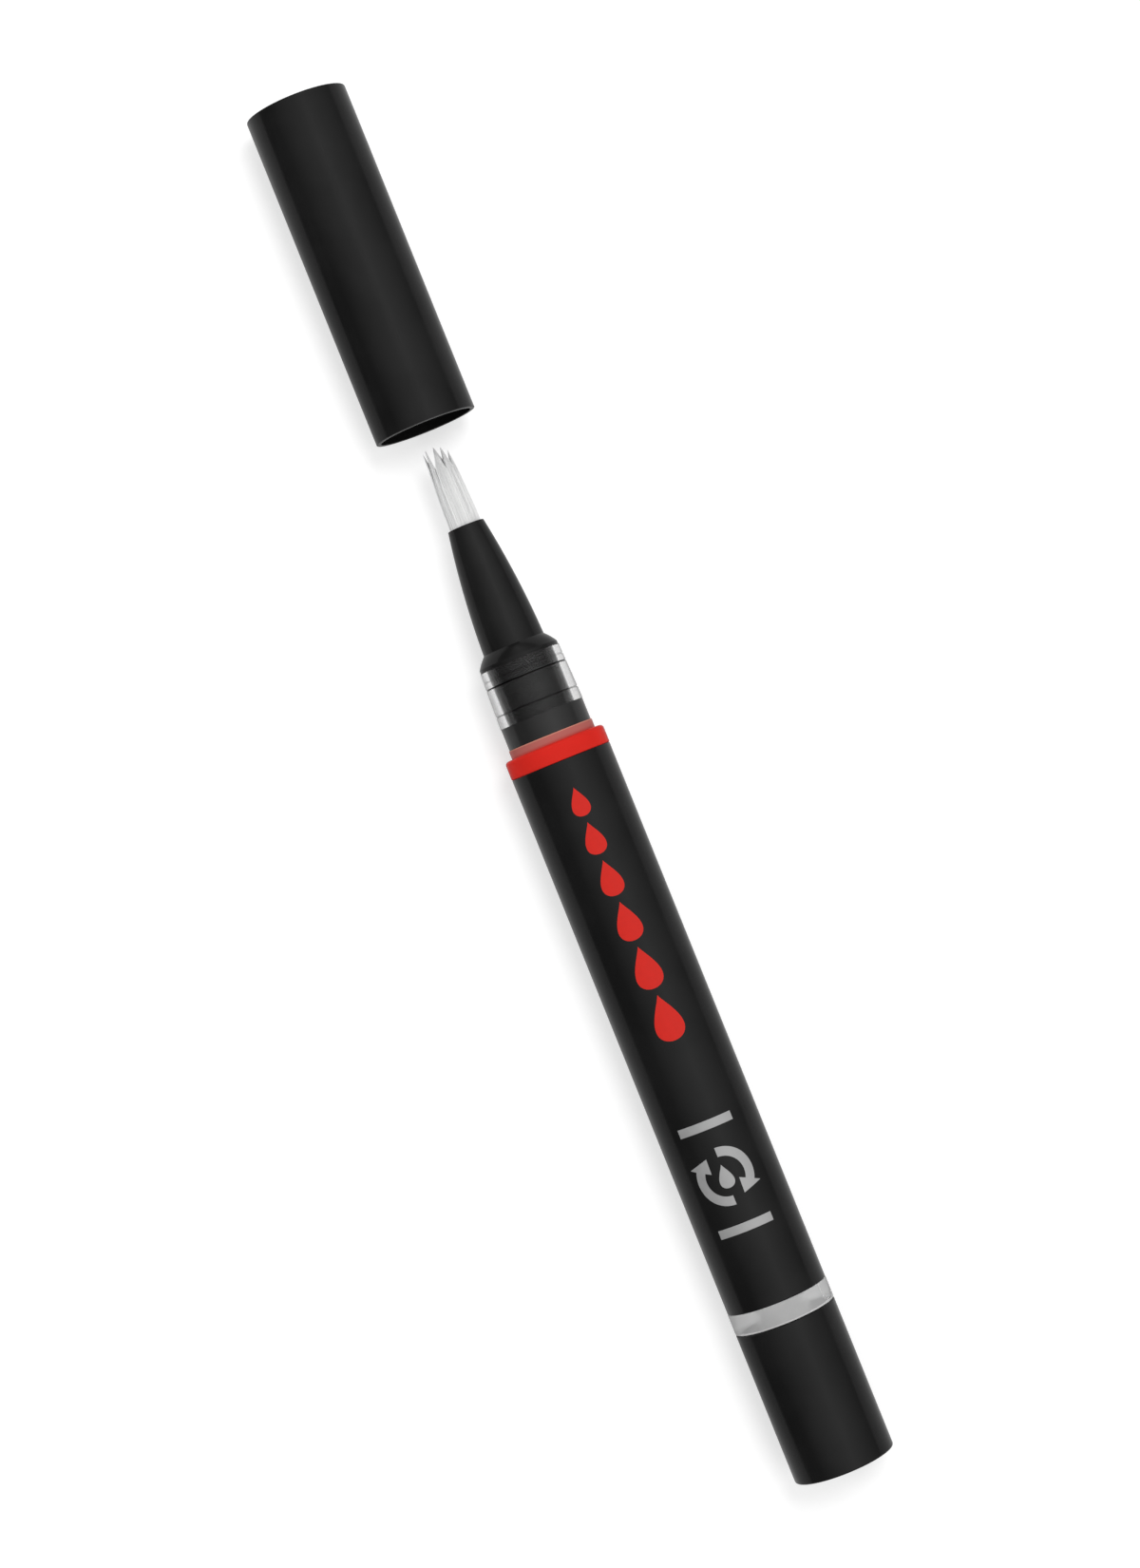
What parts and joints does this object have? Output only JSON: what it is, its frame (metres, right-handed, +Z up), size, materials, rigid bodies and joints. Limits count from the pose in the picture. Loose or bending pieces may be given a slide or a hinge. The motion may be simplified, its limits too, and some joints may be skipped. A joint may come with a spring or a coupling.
{
  "type": "twist-up oil pen",
  "caption": "Slim black twist-up oil pen with a clear neck, cone nozzle and bristle tip, lying beside its pulled-off cap; turning the rear knob feeds oil to the bristles.",
  "frame": {"origin": "on the table under the middle of the whole layout, pen and pulled-off cap together", "axes": "+X along the pen from the knob towards the brush and the cap, +Z up from the table that it lies on"},
  "size_m": [0.1612, 0.0116, 0.0116],
  "materials": {
    "black_shell": "satin black",
    "black_liner": "matt black",
    "black_nozzle": "satin black",
    "black_rubber": "soft matt black",
    "red_plastic": "satin red",
    "clear_plastic": "clear",
    "grey_plastic": "translucent grey",
    "bristles": "white nylon",
    "white_plastic": "natural white",
    "piston_plastic": "milky white"
  },
  "bodies": {
    "barrel": {"barrel_sleeve": "black_shell", "reservoir_tube": "clear_plastic", "shoulder_ring": "red_plastic", "cap_grip_band": "black_rubber", "nozzle": "black_nozzle", "bristle_tuft": "bristles", "tuft_ferrule": "white_plastic", "feed_tube": "white_plastic", "feed_plug": "white_plastic", "rear_collar": "grey_plastic", "drive_nut": "white_plastic", "click_ring": "white_plastic"},
    "knob": {"knob_shell": "black_shell", "drive_sleeve": "white_plastic"},
    "screw": {"lead_screw": "white_plastic"},
    "piston": {"piston": "piston_plastic", "piston_seal": "black_rubber"},
    "cap": {"cap_shell": "black_shell", "cap_liner": "black_liner"}
  },
  "joints": [
    {"name": "knob_turn", "type": "hinge", "parent": "barrel", "child": "knob", "pos_m": [-0.07186, 0, 0.0058], "axis": [1, 0, 0], "range_deg": [0, 4140], "deforming": ["click_ring"]},
    {"name": "screw_feed", "type": "slide", "parent": "knob", "child": "screw", "axis": [1, 0, 0], "range_m": [0, 0.0345]},
    {"name": "piston_feed", "type": "slide", "parent": "barrel", "child": "piston", "axis": [1, 0, 0], "range_m": [0, 0.03451]},
    {"name": "cap_pull", "type": "slide", "parent": "barrel", "child": "cap", "axis": [-1, 0, 0], "range_m": [0, 0.0375]}
  ],
  "couplings": [
    {"joint": "knob_turn", "follows": "screw_feed", "rad_per_m": 2094.4},
    {"joint": "piston_feed", "follows": "screw_feed", "ratio": 1}
  ]
}
